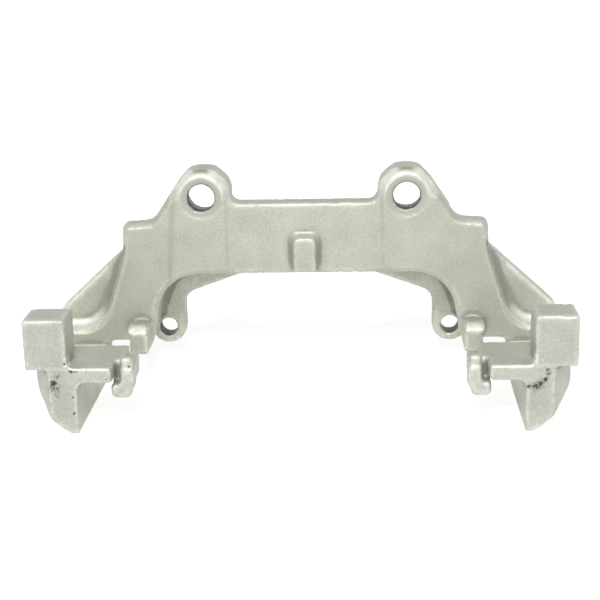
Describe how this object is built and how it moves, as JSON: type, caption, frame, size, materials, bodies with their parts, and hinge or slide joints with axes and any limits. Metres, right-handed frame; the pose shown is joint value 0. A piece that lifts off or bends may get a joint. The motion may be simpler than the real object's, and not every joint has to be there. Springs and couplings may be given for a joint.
{
  "type": "brake caliper bracket",
  "caption": "Cast iron disc brake caliper bracket with two mounting bosses on a bar, guide-pin ears, and arms reaching over the disc to outboard pad seats.",
  "frame": {"origin": "midway between the axes of the two mounting holes, in the plane of the flat fronts of their bosses", "axes": "+X along the bar from hole to hole, +Y from the outboard pad seats towards the inboard guide-pin ears, +Z towards the wheel hub"},
  "size_m": [0.2406, 0.1155, 0.1002],
  "materials": {
    "cast_finish": "sand-cast iron with a thin pale grey-green plated coat, fine grain, worn bright edges and a few rust pits"
  },
  "bodies": {
    "root": {"caliper_bracket": "cast_finish"}
  },
  "joints": []
}
